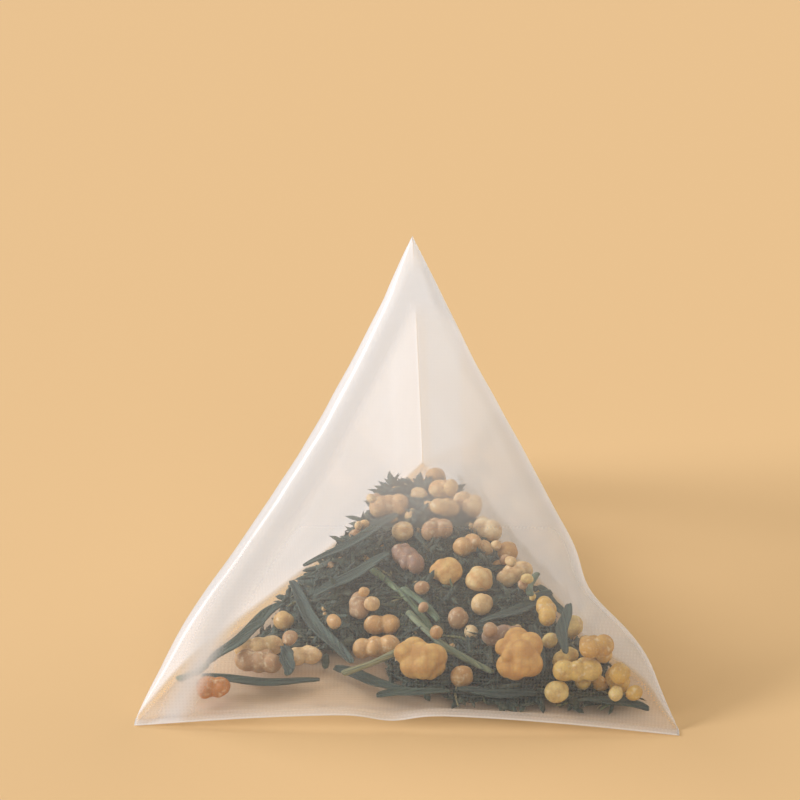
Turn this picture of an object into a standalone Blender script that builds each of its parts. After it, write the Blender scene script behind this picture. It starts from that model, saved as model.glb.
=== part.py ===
"""Pyramid tea bag: one folded sheet of fine mesh that holds roasted rice, green tea leaf and stalk.

The mesh is a tube with a lengthwise seam. One end is sealed flat along X, the other at right
angles to it, so the bag takes the shape of a pyramid with four like faces.
Origin: the middle of the base panel, on the surface the bag stands on. X runs along the front
seal, Y to the back corner and Z up. Metres. The shapes are drawn from the front seal's middle,
and one empty moves them all to the origin.
"""
import math
import random

import bmesh
import bpy
import numpy as np
from mathutils import Vector

# The mesh pouch
SEAL_LENGTH = 0.060
PANEL_HEIGHT = 0.0544
WALL = 0.0003
SEAL_WIDTH = 0.0011
SEAL_THICKNESS = 0.0005
SEAL_LIFT = 0.00215
SEAL_DIP = 0.0008
FOLD_RADIUS = 0.0042
BASE_FOLD_RADIUS = 0.0016
SEAM_DEPTH = 0.00025
PORE_SIZE = 0.0007
COLUMNS = 28
ROWS = 14
# The loose fill
CLEARANCE = 0.0003
BED_FLOOR = 0.0006
BED_RISE = 0.0062
BED_EDGE = 0.0004
GRAIN_LENGTH = 0.0055
GRAIN_WIDTH = 0.0028
BEAD_SIZE = 0.0026
POPPED_SIZE = 0.0044
LEAF_WIDTH = 0.0017
LEAF_THICKNESS = 0.0003
STALK_WIDTH = 0.0010
DROP_HEIGHT = 0.0015
SINK = 0.0007
LUMP = 0.0006

HALF = SEAL_LENGTH / 2
APEX_DEPTH = PANEL_HEIGHT - SEAL_LENGTH ** 2 / (2 * PANEL_HEIGHT)
APEX_HEIGHT = math.sqrt(PANEL_HEIGHT ** 2 - APEX_DEPTH ** 2)
BACK_CORNER = Vector((0, PANEL_HEIGHT, 0))
APEX = Vector((0, APEX_DEPTH, APEX_HEIGHT))
BACK_MIDDLE = (BACK_CORNER + APEX) / 2
ALONG = BACK_MIDDLE.normalized()
ACROSS = (APEX - BACK_CORNER).normalized()


def material(name, colour, roughness, alpha=1.0):
    mat = bpy.data.materials.new(name)
    mat.use_nodes = True
    shader = mat.node_tree.nodes["Principled BSDF"]
    shader.inputs["Base Color"].default_value = (*colour, 1)
    shader.inputs["Roughness"].default_value = roughness
    shader.inputs["Alpha"].default_value = alpha
    return mat


def add_object(name, bm, mat, smooth=True):
    bmesh.ops.recalc_face_normals(bm, faces=bm.faces)
    if bm.calc_volume(signed=True) < 0:
        bmesh.ops.reverse_faces(bm, faces=bm.faces)
    mesh = bpy.data.meshes.new(name)
    bm.to_mesh(mesh)
    bm.free()
    mesh.materials.append(mat)
    if smooth:
        mesh.shade_smooth()
        mesh.set_sharp_from_angle(angle=math.radians(50))
    obj = bpy.data.objects.new(name, mesh)
    bpy.context.scene.collection.objects.link(obj)
    obj.parent = bpy.data.objects["tea_bag"]
    return obj


def bump(value, centre, width):
    """A smooth hill of height 1 round a centre."""
    return math.exp(-((value - centre) / width) ** 2)


# The pouch's shape. A point of the cloth is (around, along): around is the distance from the
# middle of the front panel round the tube, along runs from 0 at the front seal to 1 at the back.

def folds(along):
    """Radii of the upper and the lower folds, which die away into both seals."""
    fade = (1 - math.exp(-along / 0.15)) * (1 - math.exp(-(1 - along) / 0.15))
    return FOLD_RADIUS * fade, BASE_FOLD_RADIUS * fade


def half_outline(half_width, half_height, upper, lower, distance):
    """A point at a distance round a rounded rectangle, from the middle of its upper side."""
    runs = (half_width - upper, upper * math.pi / 2, 2 * half_height - upper - lower,
            lower * math.pi / 2, half_width - lower)
    whole = sum(runs)
    left = min(max(distance, 0), 1) * whole
    if left <= runs[0]:
        return left, half_height
    left -= runs[0]
    if left < runs[1]:
        turn = left / upper
        return (half_width - upper + upper * math.sin(turn),
                half_height - upper + upper * math.cos(turn))
    left -= runs[1]
    if left <= runs[2]:
        return half_width, half_height - upper - left
    left -= runs[2]
    if left < runs[3]:
        turn = left / lower
        return (half_width - lower + lower * math.cos(turn),
                -half_height + lower - lower * math.sin(turn))
    left -= runs[3]
    return half_width - lower - min(left, runs[4]), -half_height


def side_sag(side, along):
    """How far the cloth stands out beyond the straight fold, by side: -1 left, 1 right."""
    full = SEAL_LENGTH
    if side < 0:
        return full * (0.024 * bump(along, 0.20, 0.19) - 0.016 * bump(along, 0.70, 0.26))
    sag = 0.018 * bump(along, 0.16, 0.09) - 0.024 * bump(along, 0.30, 0.07)
    return full * (sag - 0.007 * bump(along, 0.66, 0.24))


def seal_lift(x):
    """How far the front seal curls up off the table: two low arches with a dip between."""
    arch = SEAL_LIFT * np.cos(np.clip(x / HALF, -1, 1) * math.pi / 2)
    return arch - SEAL_DIP * np.exp(-((x / SEAL_LENGTH + 0.03) / 0.05) ** 2)


def pouch_point(around, along, inset=0.0):
    """Where a point of the cloth lies; inset moves it in through the wall."""
    upper, lower = folds(along)
    ease = 0.2146 * (upper + lower) / 2
    width = HALF * (1 - along) + ease
    height = HALF * along + ease
    side = 1 if around >= 0 else -1
    inner = inset > 0
    across, up = half_outline(
        width - inset, height - inset,
        max(upper - inset, 0.0001) if inner else upper,
        max(lower - inset, 0.0001) if inner else lower,
        abs(around) / SEAL_LENGTH)
    across *= 1 + side_sag(side, along) / max(width, HALF / 8)
    up += ease
    point = BACK_MIDDLE * along + ACROSS * up
    point.x = side * across
    point.z += float(seal_lift(point.x)) * math.exp(-(along / 0.035) ** 2)
    return point


def seam_inset(around, along):
    """The lengthwise seam doubles the wall along one column of the cloth, on its inner side."""
    column = round(around / SEAL_LENGTH * COLUMNS)
    return WALL + (SEAM_DEPTH if column == round(0.72 * COLUMNS) else 0)


def build_pouch():
    bm = bmesh.new()
    first = (SEAL_THICKNESS / 2) / HALF
    steps = [first + (1 - 2 * first) * row / ROWS for row in range(ROWS + 1)]
    arounds = [SEAL_LENGTH * (col - COLUMNS) / COLUMNS for col in range(2 * COLUMNS)]
    count = len(arounds)

    def ring(along, shift=None):
        verts = []
        for around in arounds:
            point = pouch_point(around, along)
            verts.append(bm.verts.new(point + shift if shift else point))
        return verts

    def band(one, two, skip=()):
        """Two triangles a cell, split the way the nearest fold runs over the cloth."""
        for col in range(count):
            if col in skip:
                continue
            nxt = (col + 1) % count
            if (col // (COLUMNS // 2)) % 2:
                halves = ((one[col], one[nxt], two[nxt]), (one[col], two[nxt], two[col]))
            else:
                halves = ((one[col], one[nxt], two[col]), (one[nxt], two[nxt], two[col]))
            for corners in halves:
                if len(set(corners)) == 3:
                    bm.faces.new(corners)

    def close(verts, middle):
        """Closes a flat ring across its thin side; middle is the column of its fold."""
        for step in range(COLUMNS):
            one = (middle + step) % count
            two = (middle - step) % count
            corners = []
            for col in (one, (one + 1) % count, (two - 1) % count, two):
                if verts[col] not in corners:
                    corners.append(verts[col])
            bm.faces.new(corners)

    # Cloth columns on the front seal's left end and at the apex
    left_end = COLUMNS // 2
    apex = COLUMNS
    pores = {row: [col for col in range(count) if col % 4 == (row % 4)]
             for row in range(1, ROWS - 1, 2)}

    outer = [ring(along) for along in steps]
    front_fin = ring(steps[0], Vector((0, -SEAL_WIDTH, 0)))
    back_fin = ring(steps[-1], ALONG * SEAL_WIDTH)
    band(front_fin, outer[0])
    band(outer[-1], back_fin)
    close(front_fin, left_end)
    close(back_fin, apex)

    inner = {}
    for row in range(1, ROWS):
        inner[row] = [bm.verts.new(pouch_point(around, steps[row], seam_inset(around, steps[row])))
                      for around in arounds]
    end = 2.2 * WALL / HALF + first

    def end_line(along, middle):
        """The inner skin ends in a line along each seal, shared by its two layers."""
        verts = [None] * count
        for step in range(COLUMNS + 1):
            one = (middle + step) % count
            two = (middle - step) % count
            spot = (pouch_point(arounds[one], along) + pouch_point(arounds[two], along)) / 2
            verts[one] = verts[two] = bm.verts.new(spot)
        return verts

    band(end_line(end, left_end), inner[1])
    band(inner[ROWS - 1], end_line(1 - end, apex))
    for row in range(ROWS):
        band(outer[row], outer[row + 1], pores.get(row, ()))
    for row in range(1, ROWS - 1):
        band(inner[row], inner[row + 1], pores.get(row, ()))

    # Each pore: a square hole through the wall, framed by what is left of its cell
    reach = PORE_SIZE / 2
    for row, cols in pores.items():
        along = (steps[row] + steps[row + 1]) / 2
        for col in cols:
            nxt = (col + 1) % count
            around = arounds[col] + SEAL_LENGTH / COLUMNS / 2
            rims = []
            for rings, inset in ((outer, 0.0), (inner, WALL)):
                cell = (rings[row][col], rings[row][nxt], rings[row + 1][nxt], rings[row + 1][col])
                rim = []
                for da, dl in ((-1, -1), (1, -1), (1, 1), (-1, 1)):
                    spot = pouch_point(around + da * reach, along + dl * reach / PANEL_HEIGHT, inset)
                    rim.append(bm.verts.new(spot))
                for k in range(4):
                    bm.faces.new((cell[k], cell[(k + 1) % 4], rim[(k + 1) % 4], rim[k]))
                rims.append(rim)
            for k in range(4):
                bm.faces.new((rims[0][k], rims[0][(k + 1) % 4], rims[1][(k + 1) % 4], rims[1][k]))
    bmesh.ops.triangulate(bm, faces=[face for face in bm.faces if len(face.verts) > 3])
    mat = material("nylon_mesh", (0.86, 0.82, 0.74), 0.45, 0.35)
    return add_object("mesh_pouch", bm, mat)


# The fill lies on a bed of leaf fragments. Each piece: (across, back, turn) and for leaves and
# stalks a length; across is a share of the bag's half width there, back of its depth.

# Grains: number of swellings first, one for a round puffed grain and three for a long one.
GRAINS = (
    # Back of the heap, under the apex
    (1, 0.26, 0.74, 2), (3, -0.29, 0.61, 11), (1, 0.34, 0.59, 2),
    (2, 0.62, 0.62, -56), (1, -0.11, 0.51, 2), (2, 0.12, 0.51, 35), (2, 0.66, 0.56, -16),
    (1, 0.94, 0.51, 2),
    # Middle
    (2, 0.39, 0.47, 27), (3, -0.10, 0.41, -49), (3, 0.74, 0.41, 40), (1, 0.38, 0.31, 2),
    (1, 0.22, 0.27, 2), (2, -0.34, 0.34, 81), (2, -0.14, 0.26, 18), (3, -0.25, 0.19, 15),
    # Left corner
    (1, -0.73, 0.32, 2), (2, -0.47, 0.20, 18), (3, -0.69, 0.175, 10), (3, -0.64, 0.13, -6),
    (2, -0.79, 0.045, 2),
    # Front and right corner
    (1, 0.24, 0.08, 2), (3, 0.52, 0.21, 2), (1, 0.62, 0.05, 2), (3, 0.74, 0.03, 10),
    (2, 0.84, 0.06, 17), (1, 0.90, 0.04, 2), (2, 0.82, 0.25, 83), (1, 0.92, 0.23, 2),
    (2, 0.81, 0.18, 44), (2, 0.89, 0.15, -44), (2, 0.97, 0.12, -65),
)
POPPED = (
    (0.23, 0.38, 1.05), (0.52, 0.37, 1.0), (0.08, 0.125, 1.4), (0.49, 0.12, 1.5),
    (0.29, 0.65, 0.8),
)
# Leaves and stalks also have a lean, in degrees, on top of the slope that they lie on.
LEAVES = (
    (-0.60, 0.28, -62, 0.0175, 0), (-0.17, 0.11, -30, 0.0104, 0), (-0.62, 0.085, 3, 0.0135, 4),
    (-0.56, 0.13, -80, 0.0058, 0), (-0.45, 0.46, 30, 0.0131, 0), (-0.36, 0.38, 29, 0.0102, 0),
    (-0.89, 0.30, 62, 0.0095, 0), (-0.78, 0.16, 56, 0.0100, 0), (0.62, 0.30, 37, 0.0102, 0),
    (0.60, 0.19, -85, 0.0085, 0), (0.84, 0.22, -96, 0.0085, 0), (0.96, 0.37, -62, 0.0070, 0),
    (0.05, 0.035, 3, 0.0083, 0), (0.36, 0.035, 1, 0.0090, 0), (0.80, 0.03, -1, 0.0080, 0),
)
STALKS = (
    (-0.06, 0.30, -53, 0.0149, 0), (0.16, 0.19, -44, 0.0141, 0), (-0.12, 0.16, 33, 0.0098, 0),
    (0.85, 0.37, 80, 0.0055, 0), (-0.86, 0.03, 48, 0.0045, 0), (0.03, 0.30, -45, 0.0065, 0),
)


# Hills of the bed: height, middle across and back, half width, half depth
HILLS = (
    (1.00, 0.03, 0.66, 0.20, 0.24),
    (0.50, 0.08, 0.40, 0.24, 0.20),
    (0.32, 0.28, 0.25, 0.14, 0.14),
    (0.30, -0.16, 0.42, 0.12, 0.14),
    (0.10, 0.20, 0.10, 0.22, 0.06),
)


def heap_level(x, y):
    """Height of the bed of fragments, which leaves the left of the front panel bare."""
    across, back = x / SEAL_LENGTH, y / PANEL_HEIGHT
    level = BED_FLOOR
    for height, mid_across, mid_back, wide, deep in HILLS:
        away = ((across - mid_across) / wide) ** 2 + ((back - mid_back) / deep) ** 2
        level = level + height * BED_RISE * np.exp(-away)
    return level


def rest_level(x, y):
    """How low a whole piece may lie: sunk a little in the bed, or on the base panel."""
    base = WALL + CLEARANCE + 1.4 * seal_lift(x) * np.exp(-(y / (0.05 * PANEL_HEIGHT)) ** 2)
    return np.maximum(heap_level(x, y) - SINK, base)


def inner_planes():
    """(inward normal, offset) of the front panel and the two back panels, on their inner side."""
    planes = []
    left, right = Vector((-HALF, 0, 0)), Vector((HALF, 0, 0))
    middle = (left + right + APEX + BACK_CORNER) / 4
    for one, two, three in ((left, right, APEX), (left, APEX, BACK_CORNER), (right, APEX, BACK_CORNER)):
        normal = (two - one).cross(three - one).normalized()
        if normal.dot(middle - one) < 0:
            normal = -normal
        planes.append((np.array(normal), normal.dot(one) + WALL))
    return planes


def outward(normal, points):
    """How far the sagging cloth stands out past the flat back panels, next to some points."""
    along = points[:, 1] / PANEL_HEIGHT + 0.5 * np.maximum(points[:, 2], 0) / APEX_HEIGHT
    side = 0 if abs(normal[0]) < 0.1 else (1 if normal[0] < 0 else -1)
    room = np.array([SEAL_LENGTH * side_sag(side, share) if side else 0 for share in along])
    return 0.8 * np.clip(room, -1, 1)


def turned(points, heading, tilt):
    """Points turned by a tilt about their own Y axis and then by a heading about Z."""
    c, s = math.cos(tilt), math.sin(tilt)
    points = points @ np.array(((c, 0, -s), (0, 1, 0), (s, 0, c)))
    c, s = math.cos(heading), math.sin(heading)
    return points @ np.array(((c, s, 0), (-s, c, 0), (0, 0, 1)))


def grain_shape(length, width, swellings, rng):
    """A roasted and puffed grain: a crooked row of round swellings, and the balls in them."""
    bm = bmesh.new()
    bmesh.ops.create_uvsphere(bm, u_segments=8, v_segments=3 * swellings + 3, radius=1)
    phase = rng.uniform(0, 2 * math.pi)
    crook = width * (0.10 if swellings > 1 else 0)

    def section(share):
        """Radius and side shift of the grain at a share of its length."""
        round_end = max(math.sin(math.pi * share), 0) ** (0.55 if swellings > 1 else 1)
        waist = 1 - 0.14 * math.cos(2 * math.pi * swellings * share) if swellings > 1 else 1
        shift = crook * math.sin(swellings * math.pi * share * 0.8 + phase)
        return width / 2 * round_end * waist / (1.14 if swellings > 1 else 1), shift

    for vert in bm.verts:
        share = math.acos(max(min(-vert.co.z, 1), -1)) / math.pi
        turn = math.atan2(vert.co.y, vert.co.x)
        radius, shift = section(share)
        radius *= 1 + 0.07 * math.cos(3 * turn + phase) + 0.05 * math.cos(2 * turn + 9 * share)
        x = (share - 0.5) * length if swellings > 1 else vert.co.z * length / 2
        vert.co = Vector((x, radius * math.cos(turn) + shift, radius * math.sin(turn)))
    balls = []
    for step in range(1, 2 * swellings + 2):
        share = step / (2 * swellings + 2)
        radius, shift = section(share)
        balls.append(((share - 0.5) * length, shift, 0, radius * 1.06))
    return bm, balls


def popped_shape(size, rng):
    """A popped grain: a cluster of round knobs that have burst out of one core."""
    bm = bmesh.new()
    big = size > POPPED_SIZE * 1.1
    bmesh.ops.create_icosphere(bm, subdivisions=3 if big else 2, radius=1)
    count = 11 if big else 7
    knobs = []
    for k in range(count):
        turn = k * 2.4 + rng.uniform(-0.3, 0.3)
        rise = -0.9 + 1.8 * k / (count - 1)
        flat = math.sqrt(1 - rise * rise)
        knobs.append((Vector((flat * math.cos(turn), flat * math.sin(turn), rise)),
                      rng.uniform(0.30, 0.42)))
    for vert in bm.verts:
        way = vert.co.normalized()
        reach = 0.60
        for knob, height in knobs:
            reach = max(reach, 0.60 + height * (1 - min(way.angle(knob) / 0.62, 1) ** 2) ** 0.5)
        vert.co = Vector((way.x * 1.12, way.y * 0.96, way.z * 0.86)) * reach * size / 2
    bmesh.ops.smooth_vert(bm, verts=bm.verts, factor=0.3,
                          use_axis_x=True, use_axis_y=True, use_axis_z=True)
    return bm


def leaf_shape(length, width, rng):
    """A rolled and dried leaf: a narrow strip, cupped across, bent and twisted along."""
    rows, cols = 7, 2
    twist = rng.uniform(-0.9, 0.9)
    bend = rng.uniform(-0.10, 0.10)
    cup = rng.uniform(0.7, 1.3)
    top, low = [], []
    bm = bmesh.new()
    for row in range(rows + 1):
        share = row / rows
        x = (share - 0.5) * length
        half = width / 2 * (0.3 + 0.7 * math.sin(math.pi * min(max(share, 0.03), 0.97)) ** 0.6)
        roll = twist * (share - 0.5)
        side = bend * length * math.sin(math.pi * share)
        side += width * 0.12 * math.sin(9 * share + twist)
        for layer, sign in ((top, 0.5), (low, -0.5)):
            line = []
            for col in range(cols + 1):
                angle = (col / cols - 0.5) * 2 * cup
                radius = half / math.sin(min(cup, 1.5))
                away = radius + sign * LEAF_THICKNESS
                y = away * math.sin(angle)
                z = radius * math.cos(cup / 2) - away * math.cos(angle)
                c, s = math.cos(roll), math.sin(roll)
                line.append(bm.verts.new((x, c * y - s * z + side, s * y + c * z)))
            layer.append(line)
    for row in range(rows):
        for col in range(cols):
            for layer in (top, low):
                bm.faces.new((layer[row][col], layer[row + 1][col],
                              layer[row + 1][col + 1], layer[row][col + 1]))
        for col in (0, cols):
            bm.faces.new((top[row][col], low[row][col], low[row + 1][col], top[row + 1][col]))
    for row in (0, rows):
        for col in range(cols):
            bm.faces.new((top[row][col], top[row][col + 1], low[row][col + 1], low[row][col]))
    bmesh.ops.triangulate(bm, faces=bm.faces)
    return bm


def stalk_shape(length, width, rng):
    """A piece of stalk: a flattened rod with one bend."""
    bm = bmesh.new()
    rings = []
    bend = rng.uniform(0.04, 0.09) * rng.choice((-1, 1))
    joints = 6
    for step in range(joints + 1):
        share = step / joints
        x = (share - 0.5) * length
        side = bend * length * (1 - abs(2 * share - 1) ** 1.5)
        thick = width / 2 * (1 + 0.18 * math.cos(2 * math.pi * share * 1.5))
        rings.append([bm.verts.new((x, side + thick * math.cos(k * math.pi / 3),
                                    0.75 * thick * math.sin(k * math.pi / 3))) for k in range(6)])
    for one, two in zip(rings, rings[1:]):
        for k in range(6):
            bm.faces.new((one[k], one[(k + 1) % 6], two[(k + 1) % 6], two[k]))
    bm.faces.new(rings[0])
    bm.faces.new(rings[-1])
    bmesh.ops.triangulate(bm, faces=bm.faces)
    return bm


def gather_pieces():
    """Every whole piece with its shape, its first place and the balls that stand for it."""
    pieces = []

    def add(name, bm, across, back, heading, lean, balls, drop, colour):
        y = back * PANEL_HEIGHT
        x = across * (HALF - y * HALF / PANEL_HEIGHT)
        reach = max(vert.co.x for vert in bm.verts)
        dx, dy = reach * math.cos(heading), reach * math.sin(heading)
        tilt = lean - math.atan2(rest_level(x + dx, y + dy) - rest_level(x - dx, y - dy), 2 * reach)
        points = turned(np.array([vert.co[:] for vert in bm.verts]), heading, tilt)
        for vert, point in zip(bm.verts, points):
            vert.co = point
        balls = np.array(balls)
        pieces.append({"name": name, "bm": bm, "colour": colour, "radii": balls[:, 3],
                       "balls": turned(balls[:, :3], heading, tilt),
                       "place": np.array((x, y, rest_level(x, y) + drop * DROP_HEIGHT))})

    for number, (swellings, across, back, turn) in enumerate(GRAINS, 1):
        rng = random.Random(100 + number)
        length = (BEAD_SIZE, 0.76 * GRAIN_LENGTH, GRAIN_LENGTH)[swellings - 1]
        width = GRAIN_WIDTH if swellings > 1 else BEAD_SIZE
        bm, balls = grain_shape(length * rng.uniform(0.93, 1.07), width * rng.uniform(0.93, 1.05),
                                swellings, rng)
        add(f"rice_grain_{number:02d}", bm, across, back, math.radians(turn),
            0, balls, 1, "rice")
    for number, (across, back, scale) in enumerate(POPPED, 1):
        rng = random.Random(300 + number)
        bm = popped_shape(POPPED_SIZE * scale, rng)
        balls = [(0, 0, 0, POPPED_SIZE * scale * 0.36)]
        balls += [(*(vert.co * 0.72), vert.co.length * 0.3) for vert in bm.verts]
        add(f"popped_grain_{number:02d}", bm, across, back, rng.uniform(0, 3), 0, balls, 1,
            "popped")
    for number, (across, back, turn, length, lean) in enumerate(LEAVES, 1):
        rng = random.Random(500 + number)
        bm = leaf_shape(length, LEAF_WIDTH * rng.uniform(0.8, 1.15), rng)
        spots = [vert.co.copy() for vert in bm.verts]
        spots += [one.lerp(two, 0.5) for one, two in zip(spots, spots[6:])]
        balls = [(*spot, LEAF_THICKNESS * 0.6) for spot in spots]
        drop = 2 + 0.9 * (number % 3) if back > 0.07 else 0.2
        add(f"tea_leaf_{number:02d}", bm, across, back, math.radians(turn), math.radians(lean),
            balls, drop, "leaf")
    for number, (across, back, turn, length, lean) in enumerate(STALKS, 1):
        rng = random.Random(700 + number)
        bm = stalk_shape(length, STALK_WIDTH, rng)
        ends = [vert.co.copy() for vert in bm.verts]
        rings = [sum(ends[k:k + 6], Vector()) / 6 for k in range(0, len(ends), 6)]
        balls = []
        for one, two in zip(rings, rings[1:]):
            balls += [(*one.lerp(two, share), STALK_WIDTH * 0.5) for share in (0, 0.33, 0.67, 1)]
        add(f"tea_stalk_{number:02d}", bm, across, back, math.radians(turn), math.radians(lean),
            balls, 5, "stalk")
    return pieces


def settle(pieces, rounds=520):
    """Lets the pieces come to rest on the bed, clear of each other and of the panels."""
    owner = np.concatenate([np.full(len(p["radii"]), k) for k, p in enumerate(pieces)])
    local = np.concatenate([p["balls"] for p in pieces])
    radii = np.concatenate([p["radii"] for p in pieces])
    place = np.array([p["place"] for p in pieces])
    gap = CLEARANCE * 1.2
    reach = radii[:, None] + radii[None, :] + gap
    other = owner[:, None] != owner[None, :]
    planes = inner_planes()
    count = len(pieces)
    start = place[:, :2].copy()
    for step in range(rounds):
        if step < rounds * 0.7:
            place[:, 2] -= 0.00006
            place[:, :2] += (start - place[:, :2]) * 0.06
        at = place[owner] + local
        square = (at ** 2).sum(axis=1)
        apart = square[:, None] + square[None, :] - 2 * at @ at.T
        hits = np.argwhere(other & (apart < reach ** 2))
        move = np.zeros((count, 3))
        if len(hits):
            one, two = hits[:, 0], hits[:, 1]
            way = at[one] - at[two]
            far = np.maximum(np.linalg.norm(way, axis=1), 1e-7)
            deep = reach[one, two] - far
            push = way * (deep / far)[:, None] * 0.5
            weight = np.zeros(count)
            np.add.at(move, owner[one], push * deep[:, None])
            np.add.at(weight, owner[one], deep)
            move /= np.maximum(weight, 1e-12)[:, None]
        place += move * 1.2
        at = place[owner] + local
        for normal, offset in planes:
            short = radii + gap - (at @ normal - offset) - outward(normal, at)
            worst = np.zeros(count)
            np.maximum.at(worst, owner, short)
            place += worst[:, None] * normal
        at = place[owner] + local
        short = rest_level(at[:, 0], at[:, 1]) + radii - at[:, 2]
        worst = np.zeros(count)
        np.maximum.at(worst, owner, short)
        place[:, 2] += worst
    for piece, spot in zip(pieces, place):
        piece["place"] = spot
    return place[owner] + local, radii


def bed_cells(levels, rows, cols):
    """The grid cells that the bed covers: one connected patch with no pinched corners."""
    high = levels > BED_FLOOR + BED_EDGE
    keep = high[:-1, :-1] & high[1:, :-1] & high[:-1, 1:] & high[1:, 1:]
    start = tuple(np.argwhere(levels[:-1, :-1] == levels[:-1, :-1].max())[0])
    patch, queue = set(), [start]
    while queue:
        row, col = queue.pop()
        if 0 <= row < rows and 0 <= col < cols and keep[row, col] and (row, col) not in patch:
            patch.add((row, col))
            queue += [(row + 1, col), (row - 1, col), (row, col + 1), (row, col - 1)]
    pinched = True
    while pinched:
        pinched = False
        for row in range(1, rows):
            for col in range(1, cols):
                four = [(row - 1, col - 1), (row, col), (row - 1, col), (row, col - 1)]
                inside = [cell in patch for cell in four]
                if inside[0] == inside[1] != inside[2] == inside[3]:
                    patch.update(four)
                    pinched = True
    return patch


def build_bed(balls, radii):
    """The bed of leaf fragments: a low heap, pressed in under each whole piece that lies on it."""
    cols, rows = 28, 24
    front, back = 0.09, 0.84
    planes = inner_planes()
    cell = 0.62 * math.hypot(SEAL_LENGTH * 0.88 / cols, PANEL_HEIGHT * (back - front) / rows)
    spots = np.zeros((rows + 1, cols + 1, 3))
    levels = np.zeros((rows + 1, cols + 1))
    for row in range(rows + 1):
        share = front + (back - front) * row / rows
        y = share * PANEL_HEIGHT
        wide = HALF * (1 - share) - BASE_FOLD_RADIUS - 0.0022
        for col in range(cols + 1):
            x = wide * (2 * col / cols - 1)
            lumps = math.sin(x * 2100 + 1.3 * math.sin(y * 1500)) * math.sin(y * 1900 + x * 700)
            levels[row, col] = heap_level(x, y)
            z = levels[row, col] + LUMP * (0.5 + 0.5 * lumps)
            rim = min(col, cols - col, row, rows - row)
            z = min(z, BED_FLOOR + 0.0002 + 0.0012 * rim)
            away = np.maximum(np.hypot(balls[:, 0] - x, balls[:, 1] - y) - cell, 0)
            near = away < radii + CLEARANCE
            if near.any():
                full = (radii[near] + CLEARANCE) ** 2
                z = min(z, float((balls[near, 2] - np.sqrt(full - away[near] ** 2)).min()))
                if z < BED_FLOOR + 0.0002:
                    levels[row, col] = 0
            for normal, offset in planes:
                room = offset + CLEARANCE - normal[0] * x - normal[1] * y
                z = min(z, room / normal[2]) if normal[2] < 0 else z
            spots[row, col] = (x, y, max(z, BED_FLOOR + 0.0002))
    bm = bmesh.new()
    tops = {}
    for row, col in sorted(bed_cells(levels, rows, cols)):
        corners = ((row, col), (row, col + 1), (row + 1, col + 1), (row + 1, col))
        for corner in corners:
            if corner not in tops:
                tops[corner] = bm.verts.new(spots[corner])
        bm.faces.new([tops[corner] for corner in corners])
    rim = [edge for edge in bm.edges if edge.is_boundary]
    skirt = bmesh.ops.extrude_edge_only(bm, edges=rim)["geom"]
    feet = [part for part in skirt if isinstance(part, bmesh.types.BMVert)]
    for vert in feet:
        vert.co.z = BED_FLOOR
    bmesh.ops.contextual_create(bm, geom=[part for part in skirt
                                          if isinstance(part, bmesh.types.BMEdge)
                                          and all(end in feet for end in part.verts)])
    bmesh.ops.triangulate(bm, faces=bm.faces)
    return add_object("tea_bed", bm, material("leaf_fragments", (0.10, 0.07, 0.03), 0.85))


for old in list(bpy.data.objects):
    bpy.data.objects.remove(old, do_unlink=True)
bag = bpy.data.objects.new("tea_bag", None)
bag.location.y = -PANEL_HEIGHT / 3
bpy.context.scene.collection.objects.link(bag)
build_pouch()
colours = {
    "rice": material("roasted_rice", (0.60, 0.36, 0.14), 0.55),
    "popped": material("popped_rice", (0.68, 0.40, 0.16), 0.7),
    "leaf": material("dried_leaf", (0.09, 0.08, 0.03), 0.65),
    "stalk": material("dried_stalk", (0.36, 0.32, 0.10), 0.6),
}
fill = gather_pieces()
all_balls, all_radii = settle(fill)
build_bed(all_balls, all_radii)
for item in fill:
    whole = add_object(item["name"], item["bm"], colours[item["colour"]])
    whole.location = item["place"]
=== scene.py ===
import math
import random

import bmesh
import bpy
from mathutils import Matrix, Vector, noise
from mathutils.bvhtree import BVHTree


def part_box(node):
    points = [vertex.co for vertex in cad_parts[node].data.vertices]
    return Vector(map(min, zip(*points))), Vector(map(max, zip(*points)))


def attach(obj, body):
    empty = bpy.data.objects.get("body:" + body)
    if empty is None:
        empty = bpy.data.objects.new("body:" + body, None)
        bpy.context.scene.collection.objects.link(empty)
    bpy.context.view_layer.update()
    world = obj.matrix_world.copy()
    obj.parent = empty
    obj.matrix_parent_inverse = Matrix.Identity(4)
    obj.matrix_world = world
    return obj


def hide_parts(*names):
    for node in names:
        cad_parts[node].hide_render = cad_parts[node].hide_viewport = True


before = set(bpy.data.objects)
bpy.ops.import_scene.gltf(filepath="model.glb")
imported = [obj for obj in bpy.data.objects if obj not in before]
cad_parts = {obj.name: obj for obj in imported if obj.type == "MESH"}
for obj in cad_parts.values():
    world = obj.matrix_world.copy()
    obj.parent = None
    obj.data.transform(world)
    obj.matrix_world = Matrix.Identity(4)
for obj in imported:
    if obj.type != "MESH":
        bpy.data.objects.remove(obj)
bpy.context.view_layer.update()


# The mesh pouch. One sheet of woven nylon monofilament, rolled to a tube and sealed
# with heat: flat along the front and at right angles to that at the back, so it
# stands as a pyramid. The cloth is a true single sheet, moved from flat to folded.
SEAL_LENGTH = 0.060
PANEL_HEIGHT = 0.0544
SEAL_WIDTH = 0.0011
SEAL_LIFT = 0.00215
SEAL_DIP = 0.0008
UPPER_FOLD = 0.0042
LOWER_FOLD = 0.0016
half = SEAL_LENGTH / 2
apex_depth = PANEL_HEIGHT - SEAL_LENGTH ** 2 / (2 * PANEL_HEIGHT)
apex_height = math.sqrt(PANEL_HEIGHT ** 2 - apex_depth ** 2)
back_corner = Vector((0, PANEL_HEIGHT, 0))
apex = Vector((0, apex_depth, apex_height))
back_middle = (back_corner + apex) / 2
way_back = back_middle.normalized()
way_up = (apex - back_corner).normalized()
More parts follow.
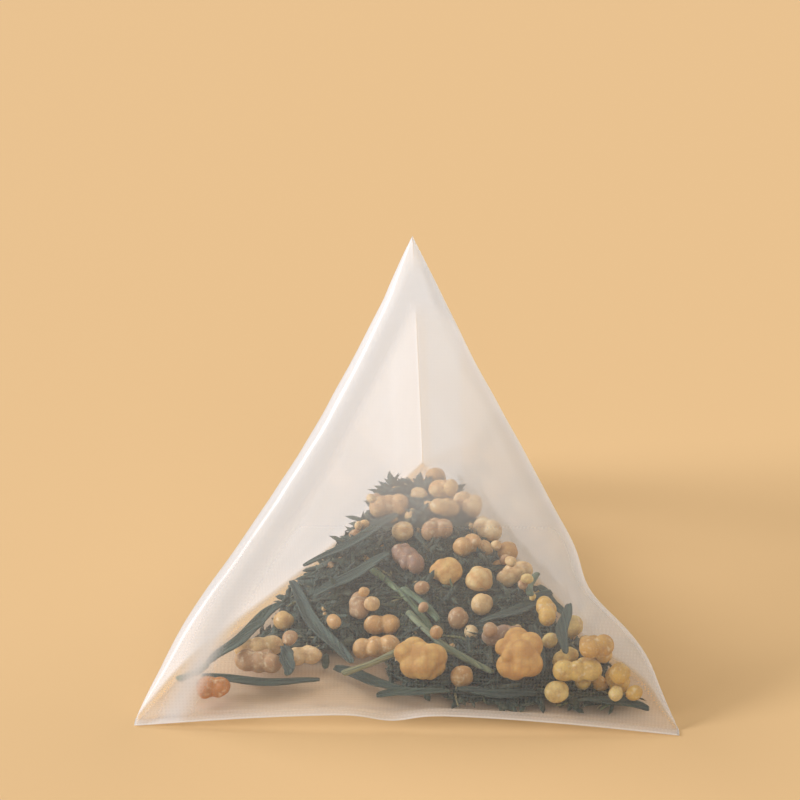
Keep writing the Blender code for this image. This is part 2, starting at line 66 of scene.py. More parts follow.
origin_depth = Vector((0, -PANEL_HEIGHT / 3, 0))


def colour(code):
    """A linear colour from an sRGB hex value."""
    parts = [int(code[k:k + 2], 16) / 255 for k in (1, 3, 5)]
    return (*[p / 12.92 if p <= 0.04045 else ((p + 0.055) / 1.055) ** 2.4 for p in parts], 1)


def hill(value, centre, width):
    """A smooth hill of height 1 round a centre."""
    return math.exp(-((value - centre) / width) ** 2)


def round_outline(width, height, upper, lower, share):
    """A point at a share of the way round half a rounded rectangle, from its top middle."""
    runs = (width - upper, upper * math.pi / 2, 2 * height - upper - lower,
            lower * math.pi / 2, width - lower)
    left = min(max(share, 0), 1) * sum(runs)
    if left <= runs[0]:
        return left, height
    left -= runs[0]
    if left < runs[1]:
        turn = left / upper
        return width - upper + upper * math.sin(turn), height - upper + upper * math.cos(turn)
    left -= runs[1]
    if left <= runs[2]:
        return width, height - upper - left
    left -= runs[2]
    if left < runs[3]:
        turn = left / lower
        return width - lower + lower * math.cos(turn), -height + lower - lower * math.sin(turn)
    return width - lower - min(left - runs[3], runs[4]), -height


def folded(around, along):
    """Where a point of the flat sheet comes to lie in the sealed pouch."""
    fade = (1 - math.exp(-along / 0.15)) * (1 - math.exp(-(1 - along) / 0.15))
    upper, lower = UPPER_FOLD * fade, LOWER_FOLD * fade
    ease = 0.2146 * (upper + lower) / 2
    width, height = half * (1 - along) + ease, half * along + ease
    side = 1 if around >= 0 else -1
    across, up = round_outline(width, height, upper, lower, abs(around) / SEAL_LENGTH)
    # each side bulges and dents as a share of the seal's length, the right one more sharply
    if side < 0:
        sag = 0.024 * hill(along, 0.20, 0.19) - 0.016 * hill(along, 0.70, 0.26)
    else:
        sag = 0.018 * hill(along, 0.16, 0.09) - 0.024 * hill(along, 0.30, 0.07)
        sag -= 0.007 * hill(along, 0.66, 0.24)
    across *= 1 + SEAL_LENGTH * sag / max(width, half / 8)
    point = back_middle * along + way_up * (up + ease)
    point.x = side * across
    lift = SEAL_LIFT * max(math.cos(min(abs(point.x) / half, 1) * math.pi / 2), 0)
    lift -= SEAL_DIP * hill(point.x, -0.03 * SEAL_LENGTH, 0.05 * SEAL_LENGTH)
    point.z += lift * math.exp(-(along / 0.035) ** 2)
    return point


bm = bmesh.new()
bm.loops.layers.uv.new("cloth")
bmesh.ops.create_grid(bm, x_segments=300, y_segments=150, size=0.5, calc_uvs=True)
sheet_length = PANEL_HEIGHT + 2 * SEAL_WIDTH
for vert in bm.verts:
    around = vert.co.x * 2 * SEAL_LENGTH
    run = (vert.co.y + 0.5) * sheet_length - SEAL_WIDTH
    along = min(max(run / PANEL_HEIGHT, 0.002), 0.998)
    place = folded(around, along)
    # the sealed strips lie flat beyond the pouch, their two layers pressed together
    if run < 0:
        place.y += run
    if run > PANEL_HEIGHT:
        end = min(1, (half - abs((place - back_middle).dot(way_up))) / (3 * SEAL_WIDTH))
        place += way_back * (run - PANEL_HEIGHT) * max(end, 0.1)
    # shallow dents and puckers of thin cloth, dying out on the base and at the seals
    free = min(1, place.z / 0.004) * min(1, along * 9) * min(1, (1 - along) * 9)
    dent = noise.noise(place * 90) * 0.00035 + noise.noise(place * 260 + Vector((3, 1, 7))) * 0.00009
    inward = (Vector((0, apex_depth, apex_height * 0.35)) - place).normalized()
    vert.co = place + inward * (0.0003 + dent) * max(free, 0) + origin_depth
bmesh.ops.remove_doubles(bm, verts=bm.verts, dist=0.00001)
mesh = bpy.data.meshes.new("pouch_cloth")
bm.to_mesh(mesh)
bm.free()
mesh.shade_smooth()
pouch = bpy.data.objects.new("pouch_cloth", mesh)
bpy.context.scene.collection.objects.link(pouch)


def add(tree, kind, links=(), **settings):
    """A shader node with its settings and links. A setting named _3 is the input numbered 3."""
    node = tree.nodes.new(kind)
    for key, value in settings.items():
        if key in node.inputs:
            node.inputs[key].default_value = value
        elif key[0] == "_":
            node.inputs[int(key[1:])].default_value = value
        else:
            setattr(node, key, value)
    for socket, source in dict(links).items():
        tree.links.new(source, node.inputs[socket])
    return node


# Woven nylon monofilament: clear threads that scatter light forward, so the cloth is
# milky where light falls through it, and denser where it is seen at a low angle. The
# real threads lie 0.25 mm apart; they are drawn 0.4 mm apart, so that they show.
nylon = bpy.data.materials.new("woven_nylon_monofilament")
nylon.use_nodes = True
tree = nylon.node_tree
tree.nodes.clear()
THREAD_PITCH = 0.0004
cloth = add(tree, "ShaderNodeUVMap", uv_map="cloth")
split = add(tree, "ShaderNodeSeparateXYZ", {0: cloth.outputs["UV"]})
waves = []
for axis, length in ((0, 2 * SEAL_LENGTH), (1, sheet_length)):
    turns = add(tree, "ShaderNodeMath", {0: split.outputs[axis]}, operation="MULTIPLY",
                _1=length / THREAD_PITCH * 2 * math.pi)
    waves.append(add(tree, "ShaderNodeMath", {0: turns.outputs[0]}, operation="SINE"))
weave = add(tree, "ShaderNodeMath", {0: waves[0].outputs[0], 1: waves[1].outputs[0]},
            operation="MAXIMUM")
facing = add(tree, "ShaderNodeLayerWeight", Blend=0.5)
# painted light and shade: the cloth is drawn denser, so milkier, the higher it stands, for light
# falling through the upper cloth, and clearer low down where the fill shades it
spot = add(tree, "ShaderNodeTexCoord")
level = add(tree, "ShaderNodeSeparateXYZ", {0: spot.outputs["Object"]})
painted_cover_by_height = add(tree, "ShaderNodeMapRange", {0: level.outputs[2]}, _1=0.003, _2=0.020,
                _3=0.09, _4=0.18)
painted_top_glow = add(tree, "ShaderNodeMapRange", {0: level.outputs[2]}, interpolation_type="SMOOTHSTEP",
           _1=0.0190, _2=0.0240, _3=0.0, _4=0.22)
painted_glow_by_height = add(tree, "ShaderNodeMath", {0: painted_cover_by_height.outputs[0], 1: painted_top_glow.outputs[0]}, operation="ADD")
# the cover seen face on carries the painted light and shade by height
cover = add(tree, "ShaderNodeMapRange", {0: facing.outputs["Facing"], 3: painted_glow_by_height.outputs[0]},
            interpolation_type="SMOOTHSTEP", _1=0.0, _2=0.95, _4=0.86)
# painted highlight: the cloth is drawn denser, so whiter, in a wide and a narrow band along the left
# upper fold, for the streaks of window light that the rounded fold reflects
sheet_side = add(tree, "ShaderNodeMapRange", {0: split.outputs[0]}, _1=0.0, _2=0.5, _3=-2.0, _4=0.0)
sheet_run = add(tree, "ShaderNodeMapRange", {0: split.outputs[1]}, _1=0.0, _2=1.0, _3=1.0, _4=0.0)
off_fold = add(tree, "ShaderNodeMath", {0: sheet_side.outputs[0], 1: sheet_run.outputs[0]},
               operation="ADD")
painted_fold_streaks = []
for middle, width, height in ((0.120, 0.085, 0.75), (0.010, 0.030, 0.15)):
    away = add(tree, "ShaderNodeMath", {0: off_fold.outputs[0]}, operation="SUBTRACT", _1=middle)
    size = add(tree, "ShaderNodeMath", {0: away.outputs[0]}, operation="ABSOLUTE")
    painted_fold_streaks.append(add(tree, "ShaderNodeMapRange", {0: size.outputs[0]},
                      interpolation_type="SMOOTHSTEP", _1=0.0, _2=width, _3=height, _4=0.0))
painted_fold_streak = add(tree, "ShaderNodeMath", {0: painted_fold_streaks[0].outputs[0], 1: painted_fold_streaks[1].outputs[0]}, operation="ADD")
# the weave shows against the dark fill and is lost in the milky cloth above it
show = add(tree, "ShaderNodeMapRange", {0: level.outputs[2]}, _1=0.006, _2=0.022, _3=0.035, _4=0.003)
grain = add(tree, "ShaderNodeMath", {0: weave.outputs[0], 1: show.outputs[0], 2: cover.outputs[0]},
            operation="MULTIPLY_ADD")
# the heat-sealed strips are a little denser, and the front one's cut edge is a fine white line
from_end = add(tree, "ShaderNodeMath", {0: split.outputs[1]}, operation="PINGPONG", _1=0.5)
strip = add(tree, "ShaderNodeMapRange", {0: from_end.outputs[0]},
            _1=SEAL_WIDTH / sheet_length, _2=1.2 * SEAL_WIDTH / sheet_length, _3=0.06, _4=0.0)
edge = add(tree, "ShaderNodeMapRange", {0: split.outputs[1]},
           _1=0.12 * SEAL_WIDTH / sheet_length, _2=0.3 * SEAL_WIDTH / sheet_length, _3=0.4, _4=0.0)
melted = add(tree, "ShaderNodeMath", {0: strip.outputs[0], 1: edge.outputs[0]}, operation="ADD")
# the painted highlight streaks along the fold are added to the cover here
cover_and_painted_streak = add(tree, "ShaderNodeMath", {0: grain.outputs[0], 1: painted_fold_streak.outputs[0]}, operation="ADD")
dense = add(tree, "ShaderNodeMath", {0: cover_and_painted_streak.outputs[0], 1: melted.outputs[0]},
            operation="ADD", use_clamp=True)
front_side = add(tree, "ShaderNodeBsdfPrincipled", {}, **{
    "Base Color": colour("#F8FAFC"), "Roughness": 0.3, "Specular IOR Level": 0.9,
    "Coat Weight": 1.0, "Coat Roughness": 0.15, "Sheen Weight": 0.2, "Sheen Roughness": 0.35})
glow = add(tree, "ShaderNodeBsdfTranslucent", {}, Color=colour("#FBFCFD"))
threads = add(tree, "ShaderNodeMixShader", {1: front_side.outputs[0], 2: glow.outputs[0]}, _0=0.56)
gaps = add(tree, "ShaderNodeBsdfTransparent")
both = add(tree, "ShaderNodeMixShader", {0: dense.outputs[0], 1: gaps.outputs[0],
                                         2: threads.outputs[0]})
add(tree, "ShaderNodeOutputMaterial", {"Surface": both.outputs[0]})
mesh.materials.append(nylon)
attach(pouch, "root")
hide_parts("mesh_pouch")


# The whole grains. Roasted brown rice, puffed into short crooked rows of round swellings,
# with a dull golden to chestnut husk. Each keeps the place and size of its solid.
HUSKS = ("#E0C594", "#D6B47C", "#CDA768", "#C2965A", "#B08B62", "#DDBB85", "#CBA066")
GOLDEN = ("#DDBB68", "#D2A94F", "#E3C880", "#C99A48", "#DDB25C")
KNOB_RADIUS = 0.0013
BROWN_GRAINS = {10: "#8A6E5C", 14: "#B3906A", 21: "#C27C36", 23: "#9C7F66"}


def paint(mesh, name, code):
    """Stores one colour on a whole mesh."""
    layer = mesh.color_attributes.new(name, "FLOAT_COLOR", "POINT")
    layer.data.foreach_set("color", list(colour(code)) * len(mesh.vertices))


rice = bpy.data.materials.new("roasted_rice_husk")
rice.use_nodes = True
tree = rice.node_tree
tree.nodes.clear()
spot = add(tree, "ShaderNodeTexCoord")
skin = add(tree, "ShaderNodeAttribute", attribute_name="husk")
# browned patches about 1 mm across, from the roasting drum
patches = add(tree, "ShaderNodeTexNoise", {0: spot.outputs["Object"]}, Scale=900, Detail=3.0,
              Roughness=0.6)
browned = add(tree, "ShaderNodeMapRange", {0: patches.outputs[0]}, _1=0.42, _2=0.68, _3=0.0, _4=0.55)
roast = add(tree, "ShaderNodeMix", {0: browned.outputs[0], 6: skin.outputs["Color"]},
            data_type="RGBA", _7=colour("#A06C38"))
# bran that has rubbed off leaves pale spots
bare = add(tree, "ShaderNodeTexNoise", {0: spot.outputs["Object"]}, Scale=1700, Detail=2.0)
pale = add(tree, "ShaderNodeMapRange", {0: bare.outputs[0]}, _1=0.56, _2=0.72, _3=0.0, _4=0.5)
husk_tint = add(tree, "ShaderNodeMix", {0: pale.outputs[0], 6: roast.outputs[2]},
                data_type="RGBA", _7=colour("#EBD9B4"))
pits = add(tree, "ShaderNodeTexNoise", {0: spot.outputs["Object"]}, Scale=2200, Detail=4.0)
rough = add(tree, "ShaderNodeBump", {"Height": pits.outputs[0]}, Strength=0.4, Distance=0.0002)
husk = add(tree, "ShaderNodeBsdfPrincipled", {"Base Color": husk_tint.outputs[2],
                                              "Normal": rough.outputs[0]},
           **{"Roughness": 0.56, "Subsurface Weight": 0.15, "Subsurface Scale": 0.0008,
              "Subsurface Radius": (1.0, 0.6, 0.3)})
add(tree, "ShaderNodeOutputMaterial", {"Surface": husk.outputs[0]})


def smooth_copy(node, name, levels):
    """A merged copy of a node's solid, smoothed, as a piece that stands for the node."""
    bm = bmesh.new()
    bm.from_mesh(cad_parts[node].data)
    bmesh.ops.remove_doubles(bm, verts=bm.verts, dist=0.000002)
    mesh = bpy.data.meshes.new(name)
    bm.to_mesh(mesh)
    bm.free()
    mesh.shade_smooth()
    piece = bpy.data.objects.new(name, mesh)
    bpy.context.scene.collection.objects.link(piece)
    soft = piece.modifiers.new("soft", "SUBSURF")
    soft.levels = soft.render_levels = levels
    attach(piece, "root")
    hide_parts(node)
    return piece


def length_way(bm):
    """The level direction in which a long piece lies."""
    verts = list(bm.verts)
    one = max(verts, key=lambda vert: (vert.co - verts[0].co).length)
    two = max(verts, key=lambda vert: (vert.co - one.co).length)
    way = two.co - one.co
    way.z = 0
    return way.normalized()


def puff_up(mesh, knobs_of, cuts):
    """Swells a solid's mesh to a union of round knobs, kept in the solid's own box."""
    bm = bmesh.new()
    bm.from_mesh(mesh)
    bmesh.ops.subdivide_edges(bm, edges=bm.edges, cuts=cuts, use_grid_fill=True)
    low = Vector([min(vert.co[k] for vert in bm.verts) for k in range(3)])
    high = Vector([max(vert.co[k] for vert in bm.verts) for k in range(3)])
    centre = (low + high) / 2
    knobs = knobs_of(bm, centre, high - low)
    for vert in bm.verts:
        way = (vert.co - centre).normalized()
        best = 0
        for spot, radius in knobs:
            ahead = way.dot(spot)
            inside = ahead * ahead - spot.length_squared + radius * radius
            if inside > 0:
                best = max(best, ahead + math.sqrt(inside))
        # a little of the smooth form stays, so that the knobs melt together
        reach = (vert.co - centre).length
        if best > 0:
            reach = 0.15 * reach + 0.85 * best
        vert.co = centre + way * reach
    new_low = Vector([min(vert.co[k] for vert in bm.verts) for k in range(3)])
    new_high = Vector([max(vert.co[k] for vert in bm.verts) for k in range(3)])
    middle = (new_low + new_high) / 2
    for vert in bm.verts:
        for k in range(3):
            scale = (high[k] - low[k]) / (new_high[k] - new_low[k])
            vert.co[k] = centre[k] + (vert.co[k] - middle[k]) * scale
    bmesh.ops.smooth_vert(bm, verts=bm.verts, factor=0.25, use_axis_x=True, use_axis_y=True,
                          use_axis_z=True)
    bm.to_mesh(mesh)
    bm.free()
    mesh.shade_smooth()


def row_of_knobs(bm, centre, size):
    """Two to four round swellings in a crooked row, with a few small ones beside them."""
    way = length_way(bm)
    side = Vector((-way.y, way.x, 0))
    reach = max(abs((vert.co - centre).dot(way)) for vert in bm.verts)
    chance = random.Random(int(centre.x * 1e6) + 7)
    if reach < 1.25 * KNOB_RADIUS:
        return [(way * 0.0002, reach * 0.93), (side * 0.0006, reach * 0.62),
                (way * -0.0005, reach * 0.7)]
    count = max(2, round(2 * reach / (1.45 * KNOB_RADIUS)))
    knobs = []
    for k in range(count):
        along = (k / (count - 1) * 2 - 1) * (reach - KNOB_RADIUS)
        spot = way * along + side * chance.uniform(-0.00035, 0.00035)
        knobs.append((spot, KNOB_RADIUS * chance.uniform(0.9, 1.08)))
    for _ in range(3):
        spot = way * chance.uniform(-0.6, 0.6) * reach + side * chance.choice((-0.0008, 0.0008))
        knobs.append((spot + Vector((0, 0, chance.uniform(-0.0003, 0.0007))), KNOB_RADIUS * 0.62))
    return knobs


for node in sorted(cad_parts):
    if node.startswith("rice_grain"):
        number = int(node[-2:])
        grain_piece = smooth_copy(node, node + "_husk", 1)
        puff_up(grain_piece.data, row_of_knobs, 2)
        right_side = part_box(node)[1][0] > 0.014
        tones = GOLDEN if right_side else HUSKS
        paint(grain_piece.data, "husk", BROWN_GRAINS.get(number, tones[number * 3 % len(tones)]))
        grain_piece.data.materials.append(rice)


# The popped grains. Rice that burst in the drum: the husk has opened into matt starch
# lobes, cream where the starch shows and amber where it caught the heat.
STARCHES = ("#DDB873", "#E3C88E", "#DCB266", "#D9A95C", "#DEC086")
puff = bpy.data.materials.new("popped_rice_starch")
puff.use_nodes = True
tree = puff.node_tree
tree.nodes.clear()
spot = add(tree, "ShaderNodeTexCoord")
skin = add(tree, "ShaderNodeAttribute", attribute_name="husk")
cells = add(tree, "ShaderNodeTexVoronoi", {"Vector": spot.outputs["Object"]}, Scale=900)
crust = add(tree, "ShaderNodeMapRange", {0: cells.outputs["Distance"]}, _1=0.1, _2=0.75, _3=0.0, _4=0.8)
starch = add(tree, "ShaderNodeMix", {0: crust.outputs[0], 6: skin.outputs["Color"]},
             data_type="RGBA", _7=colour("#BE8742"))
foam = add(tree, "ShaderNodeTexNoise", {0: spot.outputs["Object"]}, Scale=1600, Detail=5.0)
rough = add(tree, "ShaderNodeBump", {"Height": foam.outputs[0]}, Strength=0.6, Distance=0.0004)
burst = add(tree, "ShaderNodeBsdfPrincipled", {"Base Color": starch.outputs[2],
                                               "Normal": rough.outputs[0]},
            **{"Roughness": 0.62, "Subsurface Weight": 0.2, "Subsurface Scale": 0.001,
               "Subsurface Radius": (1.0, 0.65, 0.35)})
add(tree, "ShaderNodeOutputMaterial", {"Surface": burst.outputs[0]})


def cluster_of_knobs(bm, centre, size):
    """Round knobs up to 2 mm wide, spread over the outside of a burst grain."""
    chance = random.Random(int(centre.y * 1e6) + 3)
    count = 16 if size.x > 0.0045 else 10
    knobs = [(Vector((0, 0, 0)), min(size) * 0.34)]
    for k in range(count):
        turn = k * 2.4 + chance.uniform(-0.8, 0.8)
        rise = -0.8 + 1.7 * (k + 0.5) / count
        flat = math.sqrt(max(1 - rise * rise, 0.05))
        radius = chance.uniform(0.0006, 0.0014)
        way = Vector((flat * math.cos(turn), flat * math.sin(turn), rise))
        spot = Vector([way[k] * max(size[k] / 2 - radius * 0.9, 0.0002) for k in range(3)])
        knobs.append((spot * chance.uniform(0.65, 1.0), radius))
    return knobs


for node in sorted(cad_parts):
    if node.startswith("popped_grain"):
        grain_piece = smooth_copy(node, node + "_puff", 1)
        puff_up(grain_piece.data, cluster_of_knobs, 3)
        mesh = grain_piece.data
        paint(mesh, "husk", STARCHES[int(node[-2:]) - 1])
        mesh.materials.append(puff)


# The leaves. Steamed green tea, rolled to narrow needles and dried: dark blue-green,
# ridged along its length, with a slight bloom.
leaf = bpy.data.materials.new("dried_green_tea_leaf")
leaf.use_nodes = True
tree = leaf.node_tree
tree.nodes.clear()
along_leaf = add(tree, "ShaderNodeUVMap", uv_map="blade")
skin = add(tree, "ShaderNodeAttribute", attribute_name="husk")
stretch = add(tree, "ShaderNodeMapping", {0: along_leaf.outputs[0]}, Scale=(260, 5200, 1))
fibre = add(tree, "ShaderNodeTexNoise", {0: stretch.outputs[0]}, Scale=1.0, Detail=5.0)
fade = add(tree, "ShaderNodeMapRange", {0: fibre.outputs[0]}, _1=0.3, _2=0.72, _3=0.0, _4=1.0)
blade_tint = add(tree, "ShaderNodeMix", {0: fade.outputs[0], 6: skin.outputs["Color"]},
                 data_type="RGBA", _7=colour("#4C5D4C"))
ridge = add(tree, "ShaderNodeBump", {"Height": fibre.outputs[0]}, Strength=0.8, Distance=0.0004)
blade = add(tree, "ShaderNodeBsdfPrincipled", {"Base Color": blade_tint.outputs[2],
                                               "Normal": ridge.outputs[0]},
            **{"Roughness": 0.5, "Specular IOR Level": 0.4, "Sheen Weight": 0.1})
add(tree, "ShaderNodeOutputMaterial", {"Surface": blade.outputs[0]})


def lay_blade_uv(bm, heading, start=0.0):
    """Writes a UV map in metres: U along a blade's heading, V across it."""
    layer = bm.loops.layers.uv.get("blade") or bm.loops.layers.uv.new("blade")
    for face in bm.faces:
        for loop in face.loops:
            spot = loop.vert.co
            loop[layer].uv = (spot.dot(heading) + start,
                              spot.x * heading.y - spot.y * heading.x + spot.z * 0.6 + start)


LEAF_TONES = ("#1C2520", "#242F29", "#2B372D", "#30382B", "#171F1D")
STALK_TONES = ("#6F8460", "#7E9062", "#8A9066", "#A9A06E", "#65795A", "#7B8E64")
for node in sorted(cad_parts):
    if node.startswith(("tea_leaf", "tea_stalk")):
        number = int(node[-2:])
        stem = node.startswith("tea_stalk")
        blade_piece = smooth_copy(node, node + ("_rod" if stem else "_blade"), 2)
        mesh = blade_piece.data
        bm = bmesh.new()
        bm.from_mesh(mesh)
        lay_blade_uv(bm, length_way(bm), number)
        bm.to_mesh(mesh)
        bm.free()
        tones = STALK_TONES if stem else LEAF_TONES
        paint(mesh, "husk", tones[number % len(tones)])
        mesh.shade_smooth()
        mesh.materials.append(leaf)


# The bed. Siftings of broken leaf and dust, with small grains and bits of stalk in it,
# that lie where the bag was filled and have slid up against the back panels.
bed_piece = smooth_copy("tea_bed", "bed_siftings", 1)
bm = bmesh.new()
bm.from_mesh(bed_piece.data)
lay_blade_uv(bm, Vector((0.8, 0.6, 0)))
bm.to_mesh(bed_piece.data)
bm.free()
paint(bed_piece.data, "husk", "#1F221B")
bed_piece.data.materials.append(leaf)


def node_tree_of(names):
    """A search tree over several nodes' solids."""
    bm = bmesh.new()
    for name in names:
        bm.from_mesh(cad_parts[name].data)
    found = BVHTree.FromBMesh(bm)
    bm.free()
    return found


whole_names = [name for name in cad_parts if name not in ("mesh_pouch", "tea_bed")]
whole_tree = node_tree_of(whole_names)
bed_tree = node_tree_of(["tea_bed"])
# the three standing panels, each as a normal that points inwards and its distance
corners = [Vector((-half, 0, 0)), Vector((half, 0, 0)), apex, back_corner]
walls = []
for one, two, three in ((0, 1, 2), (0, 2, 3), (1, 2, 3)):
    inward = (corners[two] - corners[one]).cross(corners[three] - corners[one]).normalized()
    if inward.dot(sum(corners, Vector()) / 4 - corners[one]) < 0:
        inward = -inward
    walls.append((inward, inward.dot(corners[one] + origin_depth)))


def floor_under(x, y):
    """The height and slope of the bed, or of the base panel beside it."""
    spot, normal, index, far = bed_tree.ray_cast(Vector((x, y, 0.03)), Vector((0, 0, -1)))
    if spot is None:
        return 0.0009, Vector((0, 0, 1)), False
    return spot.z, normal, True


def press_in(verts, painted_glow_by_height):
    """Moves a small piece in from the panels that it would cut."""
    for inward, offset in walls:
        short = painted_glow_by_height - min(inward.dot(vert.co) for vert in verts) + offset
        if short > 0:
            for vert in verts:
                vert.co += inward * short


scratch = bpy.data.meshes.new("scratch")


def put_in(whole, one):
    """Adds one small bmesh to the mesh of all its kind, and frees it."""
    one.to_mesh(scratch)
    whole.from_mesh(scratch)
    one.free()


def blade_bit(tone, size, place, heading, normal, rng):
    """A bent, creased splinter of leaf or stalk, 24 faces."""
    bm = bmesh.new()
    layer = bm.verts.layers.float_color.new("husk")
    length, width, thick = size
    bmesh.ops.create_uvsphere(bm, u_segments=6, v_segments=4, radius=0.5)
    bend, twist, crook = rng.uniform(-0.25, 0.25), rng.uniform(-1.4, 1.4), rng.uniform(-0.2, 0.2)
    tilt = normal.to_track_quat("Z", "Y").to_matrix() @ Matrix.Rotation(heading, 3, "Z")
    for vert in bm.verts:
        share = vert.co.z * 2
        spin = Matrix.Rotation(twist * share, 3, "X")
        full = 1 + 0.3 * noise.noise(vert.co * 3 + place * 900)
        side = Vector((0, vert.co.x * width * full, vert.co.y * thick * full))
        local = Vector((share * length / 2, crook * length * share * share, bend * length * 0.3 *
                        share * share)) + spin @ side
        vert.co = place + tilt @ local
        vert[layer] = tone
    return bm


# splinters are tried all over the base, and kept mostly on the bed and at its right
BIT_TRIES = 7000
WALL_GAP = 0.0006
rng = random.Random(41)
bits = bmesh.new()
bits.verts.layers.float_color.new("husk")
LEAF_CODES = ("#1A221C", "#242C24", "#2E382A", "#3C412B", "#151B18", "#4E482F")
leaf_tones = [colour(code) for code in LEAF_CODES]
straw_tones = [colour(code) for code in ("#A79A66", "#8C8A57", "#BBAA78", "#77804F")]
for attempt in range(BIT_TRIES):
    back = rng.uniform(0.05, 0.84)
    across = rng.uniform(-1, 1)
    if back < 0.085 and across < 0.2:
        continue
    x = across * (half * (1 - back) - (0.0036 if across > 0 and 0.2 < back < 0.45 else 0.0022))
    y = back * PANEL_HEIGHT + origin_depth.y
    level, normal, on_bed = floor_under(x, y)
    right_side = across > -0.1 and back < 0.62
    left_edge = across < -0.35 and back > 0.22
    if not on_bed and rng.random() < (0.2 if right_side else 0.5 if left_edge else 0.98):
        continue
    straw = rng.random() < 0.06
    length = rng.uniform(0.0022, 0.0062) if not straw else rng.uniform(0.002, 0.006)
    width = rng.uniform(0.0005, 0.0013) if not straw else rng.uniform(0.00025, 0.00045)
    thick = rng.uniform(0.00018, 0.0004)
    if rng.random() < 0.25:
        length, width, thick = length * 0.4, width * 0.9, thick * 1.6
    place = Vector((x, y, level + rng.uniform(0.0, 0.0006)))
    near = whole_tree.find_nearest(place)
    if near[3] < WALL_GAP:
        continue
    tone = rng.choice(straw_tones if straw else leaf_tones)
    lean = (normal + Vector([rng.uniform(-0.35, 0.35) for _ in range(3)])).normalized()
    heading = rng.gauss(0.5, 0.7) if left_edge else rng.uniform(0, math.pi)
    bit = blade_bit(tone, (length, width, thick), place, heading, lean, rng)
    press_in(bit.verts, WALL_GAP)
    if min(vert.co.z for vert in bit.verts) < 0.0004:
        bit.free()
        continue
    put_in(bits, bit)
lay_blade_uv(bits, Vector((0.6, 0.8, 0)))
mesh = bpy.data.meshes.new("bed_leaf_bits")
bits.to_mesh(mesh)
bits.free()
mesh.shade_smooth()
mesh.materials.append(leaf)
leaf_bits = bpy.data.objects.new("bed_leaf_bits", mesh)
bpy.context.scene.collection.objects.link(leaf_bits)
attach(leaf_bits, "root")
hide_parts("tea_bed")

# small round grains that lie among the whole ones: shares across and back, and a size
LOOSE_BEADS = (
    (0.01, 0.65, 2.3), (0.34, 0.60, 2.2), (0.78, 0.51, 2.0), (0.37, 0.19, 2.0), (0.55, 0.50, 2.2),
    (0.12, 0.60, 2.0), (0.45, 0.66, 2.2), (-0.05, 0.58, 2.1), (0.20, 0.55, 2.3), (0.60, 0.45, 2.0),
    (0.05, 0.33, 1.9), (-0.22, 0.29, 2.0), (-0.40, 0.25, 1.9), (0.30, 0.24, 2.0), (0.62, 0.14, 2.2),
    (0.93, 0.09, 2.1), (0.97, 0.17, 2.2), (0.88, 0.19, 2.0), (0.75, 0.15, 1.9), (0.96, 0.27, 1.9),
    (0.45, 0.04, 1.9), (0.12, 0.20, 1.8), (-0.55, 0.17, 2.0), (0.80, 0.34, 2.0), (0.88, 0.42, 1.9),
    (0.88, 0.05, 2.0), (0.95, 0.06, 1.8), (0.80, 0.04, 1.9), (0.80, 0.11, 2.2), (0.86, 0.15, 2.1),
    (0.72, 0.10, 2.2), (0.90, 0.23, 2.1), (0.84, 0.28, 2.0), (0.78, 0.22, 2.1), (0.66, 0.20, 2.0),
    (0.92, 0.33, 2.0), (0.70, 0.28, 2.0), (0.86, 0.37, 2.0), (0.96, 0.12, 1.7), (0.62, 0.08, 1.9),
    (0.52, 0.12, 1.8), (0.80, 0.46, 1.9), (0.74, 0.40, 1.9), (-0.50, 0.52, 2.0), (-0.12, 0.70, 2.0),
    (0.60, 0.72, 1.9), (0.05, 0.80, 1.8), (0.48, 0.56, 1.8),
)
beads = bmesh.new()
beads.verts.layers.float_color.new("husk")
kept = []
crumbs = [(a, b, s, False) for a, b, s in LOOSE_BEADS]
CRUMB_COUNT = 90
crumbs += [(rng.uniform(-0.6, 0.95), rng.uniform(0.05, 0.8), rng.uniform(0.7, 1.5), True)
           for _ in range(CRUMB_COUNT)]
for across, back, size, small in crumbs:
    radius = size / 2000
    x = across * half * (1 - back)
    y = back * PANEL_HEIGHT + origin_depth.y
    level, normal, on_bed = floor_under(x, y)
    if small and not on_bed:
        continue
    place = Vector((x, y, level + radius * (0.4 if small else 0.7)))
    for lift in range(16):
        near = whole_tree.find_nearest(place)[3]
        if near > radius * 0.96 and all((place - p).length > (radius + r) * 0.96 for p, r in kept):
            break
        place.z += 0.00025
    for inward, offset in walls:
        place += inward * max(0, radius + 0.0005 - (inward.dot(place) - offset))
    if whole_tree.find_nearest(place)[3] < radius * 0.8 or place.z > level + 0.0045:
        continue
    kept.append((place, radius))
    bead = bmesh.new()
    layer = bead.verts.layers.float_color.new("husk")
    bmesh.ops.create_uvsphere(bead, u_segments=8, v_segments=6, radius=radius)
    tones = GOLDEN if place.x > 0.013 else HUSKS
    tone = colour(tones[len(kept) % len(tones)])
    long_way = Matrix.Rotation(rng.uniform(0, math.pi), 3, "Z") @ Matrix.Diagonal((1.16, 0.97, 0.92))
    for vert in bead.verts:
        lump = 1 + 0.24 * noise.noise(vert.co / radius * 1.3 + place * 700)
        vert.co = place + long_way @ vert.co * lump
        vert[layer] = tone
    put_in(beads, bead)
mesh = bpy.data.meshes.new("bed_small_grains")
beads.to_mesh(mesh)
beads.free()
mesh.shade_smooth()
mesh.materials.append(rice)
small_grains = bpy.data.objects.new("bed_small_grains", mesh)
bpy.context.scene.collection.objects.link(small_grains)
soft = small_grains.modifiers.new("soft", "SUBSURF")
soft.levels = soft.render_levels = 1
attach(small_grains, "root")
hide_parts("tea_bed")
bpy.data.meshes.remove(scratch)


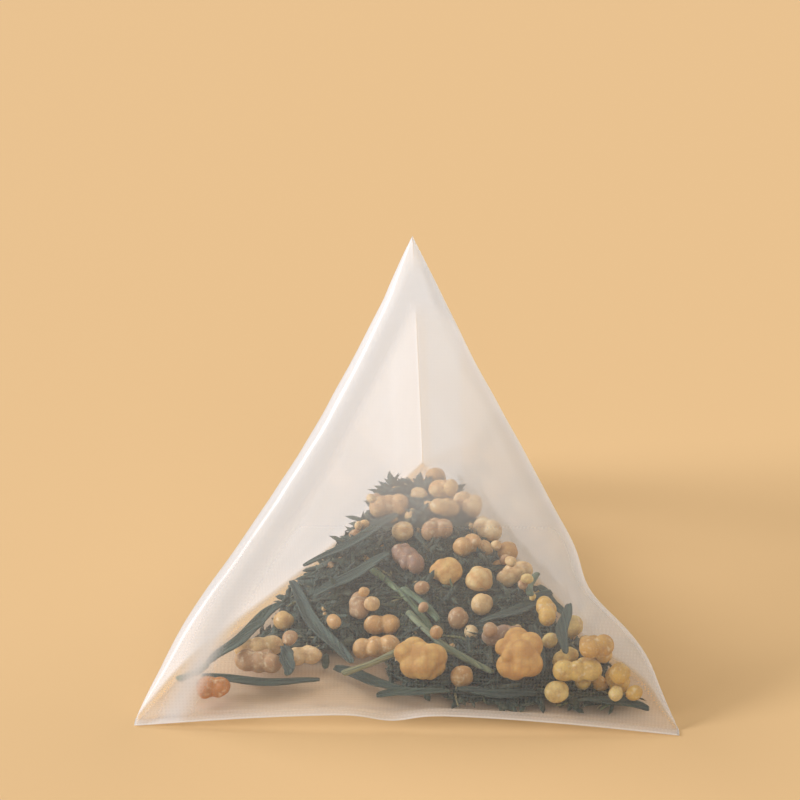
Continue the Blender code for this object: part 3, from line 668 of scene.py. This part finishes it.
# The table. Plain warm paper, matt, pale enough to show the cloth.
bm = bmesh.new()
bmesh.ops.create_grid(bm, x_segments=2, y_segments=2, size=1.5)
mesh = bpy.data.meshes.new("floor")
bm.to_mesh(mesh)
bm.free()
floor = bpy.data.objects.new("floor", mesh)
floor.location.z = -0.0001
bpy.context.scene.collection.objects.link(floor)
paper = bpy.data.materials.new("plain_warm_paper")
paper.use_nodes = True
paper.node_tree.nodes["Principled BSDF"].inputs["Base Color"].default_value = colour("#E1B983")
paper.node_tree.nodes["Principled BSDF"].inputs["Roughness"].default_value = 0.9
mesh.materials.append(paper)


# Soft daylight from wide windows on the left, so far away that it falls alike on the whole
# table, and weak fills from the right and the front.
def daylight(name, toward, spread, strength, tone):
    """A distant soft light that comes from the given side."""
    data = bpy.data.lights.new(name, "SUN")
    data.angle = math.radians(spread)
    data.energy = strength
    data.color = colour(tone)[:3]
    obj = bpy.data.objects.new(name, data)
    obj.location = toward
    obj.rotation_euler = Vector(toward).to_track_quat("Z", "Y").to_euler()
    bpy.context.scene.collection.objects.link(obj)


daylight("window_left", (-0.80, 0.48, 0.68), 25, 1.15, "#EFF4FF")
daylight("low_window", (-0.88, -0.20, 0.36), 19, 2.6, "#EFF4FF")
daylight("right_fill", (0.80, 0.60, 0.60), 35, 0.50, "#FFF8F0")
daylight("front_fill", (0.20, -0.90, 0.80), 38, 0.36, "#FFF8F0")
world = bpy.data.worlds.new("room")
world.use_nodes = True
world.node_tree.nodes["Background"].inputs["Color"].default_value = (1, 0.98, 0.95, 1)
world.node_tree.nodes["Background"].inputs["Strength"].default_value = 0.47
bpy.context.scene.world = world
bpy.context.scene.view_settings.view_transform = "Standard"

# The camera looks down by 31 degrees, from a little to the right, three picture widths of
# focal length away.
camera_data = bpy.data.cameras.new("camera")
camera_data.sensor_width = 36
camera_data.lens = 36 * 3
camera_data.clip_start = 0.01
camera = bpy.data.objects.new("camera", camera_data)
bpy.context.scene.collection.objects.link(camera)
bpy.context.scene.camera = camera
rise, swing, tip = 0.53857, -0.04318, -0.00856
ahead = Vector((math.sin(swing) * math.cos(rise), math.cos(swing) * math.cos(rise), -math.sin(rise)))
right = Vector((math.cos(swing), -math.sin(swing), 0))
up = right.cross(ahead)
right, up = right * math.cos(tip) + up * math.sin(tip), up * math.cos(tip) - right * math.sin(tip)
aim = Vector((0, 0.018, 0.018)) + origin_depth
place = aim - ahead * 0.27286 + right * -0.00144 + up * 0.01143
camera.matrix_world = Matrix((
    (right.x, up.x, -ahead.x, place.x),
    (right.y, up.y, -ahead.y, place.y),
    (right.z, up.z, -ahead.z, place.z),
    (0, 0, 0, 1)))
